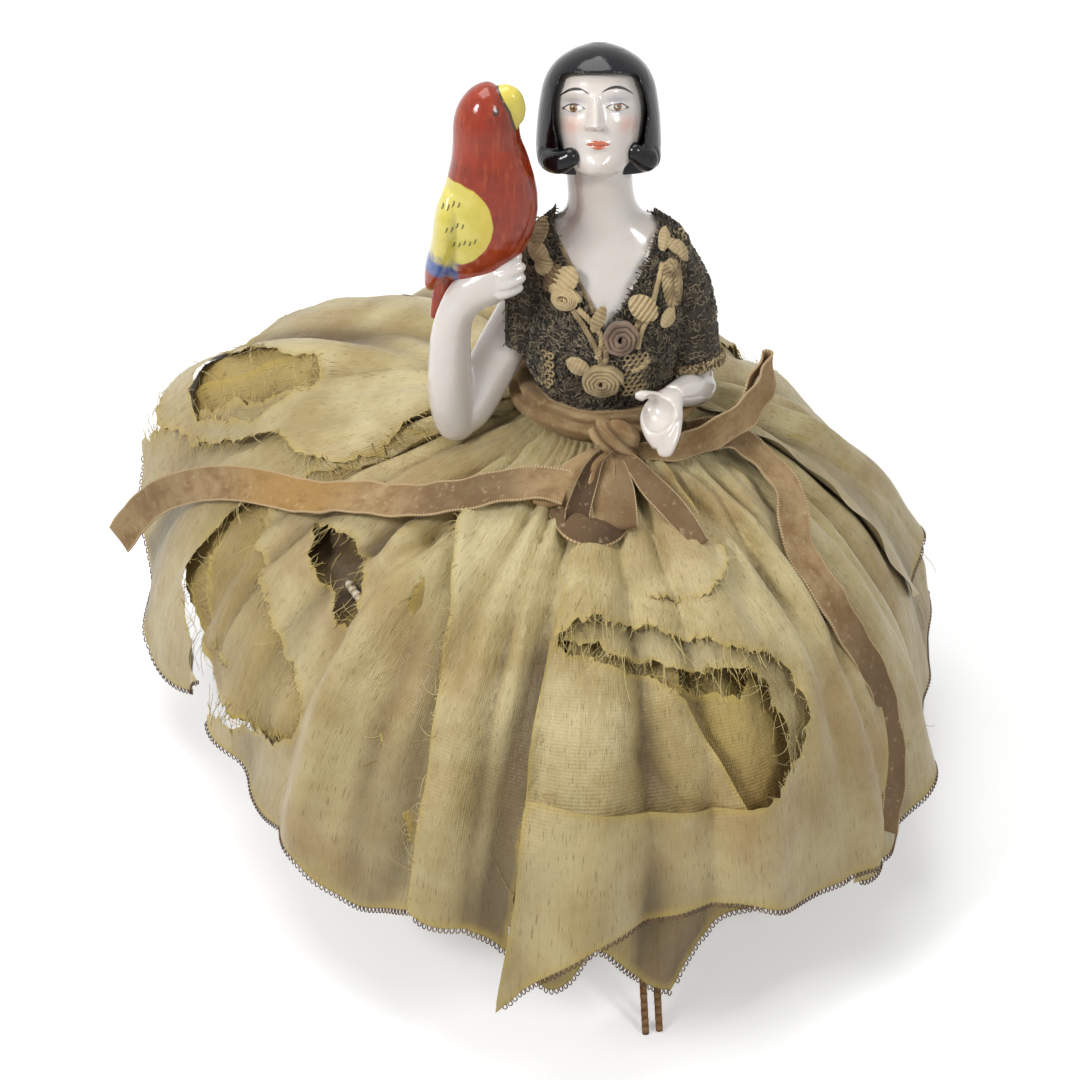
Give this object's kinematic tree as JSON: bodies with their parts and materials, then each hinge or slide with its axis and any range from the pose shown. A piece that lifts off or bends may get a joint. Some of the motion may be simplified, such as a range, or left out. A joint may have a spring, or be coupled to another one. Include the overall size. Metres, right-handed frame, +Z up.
{
  "type": "half doll on a crinoline frame",
  "caption": "Glazed porcelain half doll of a lady holding a parrot, knitted bodice, velvet sash, sewn to a wire crinoline frame under a torn gathered silk skirt.",
  "frame": {"origin": "on the table, under the middle of the skirt's outline from above", "axes": "+Z up, the doll faces -Y, +X to the right of someone who looks at her face"},
  "size_m": [0.247, 0.2404, 0.222],
  "materials": {
    "porcelain": "white glazed porcelain, painted face, glossy black hair",
    "parrot_glaze": "glossy red-orange glaze with a yellow and blue wing",
    "knit": "dull grey-brown looped knit",
    "ribbon_trim": "faded beige silk ribbon and crochet",
    "thread": "cream cotton",
    "velvet": "worn tan velvet ribbon with cream selvages",
    "silk": "olive-gold silk satin with fine slubs",
    "inner_silk": "yellower silk, torn and frayed",
    "taped_wire": "wire bound in cloth tape, rust stained"
  },
  "bodies": {
    "root": {"porcelain_bust": "porcelain", "raised_arm": "porcelain", "lowered_arm": "porcelain", "parrot": "parrot_glaze", "bodice": "knit", "bodice_braid": "ribbon_trim", "sleeve": "knit", "sleeve_left": "knit", "sleeve_hem": "ribbon_trim", "neck_edge_left": "ribbon_trim", "neck_edge_right": "thread", "rosette_button": "ribbon_trim", "rosette_loop_left": "ribbon_trim", "rosette_centre": "ribbon_trim", "rosette_large": "ribbon_trim", "rosette_loop_right": "ribbon_trim", "leaf_shoulder_left_upper": "ribbon_trim", "leaf_shoulder_left_lower": "ribbon_trim", "leaf_fan_left": "ribbon_trim", "leaf_lower_left": "ribbon_trim", "leaf_fan_right": "ribbon_trim", "leaf_shoulder_right_inner": "ribbon_trim", "leaf_shoulder_right_outer": "ribbon_trim", "stem_left": "ribbon_trim", "stem_right": "ribbon_trim", "waist_hoop": "taped_wire", "sewing_thread_1": "thread", "sewing_thread_2": "thread", "sewing_thread_3": "thread", "sewing_thread_4": "thread", "panel_front_right": "silk", "panel_centre_left": "silk", "panel_left_front": "silk", "panel_left": "silk", "panel_back_left": "silk", "panel_back": "silk", "panel_back_right": "silk", "panel_right_back": "silk", "panel_right": "silk", "lining_front": "inner_silk", "lining_left": "inner_silk", "lining_back": "inner_silk", "lining_right": "inner_silk", "sash_band": "velvet", "sash_knot": "velvet", "bow_loop_left": "velvet", "bow_loop_centre": "velvet", "bow_loop_standing": "velvet", "streamer_left": "velvet", "streamer_right": "velvet", "shoulder_hoop": "taped_wire", "base_hoop": "taped_wire", "leg_front": "taped_wire", "leg_right": "taped_wire", "leg_left": "taped_wire"}
  },
  "joints": []
}
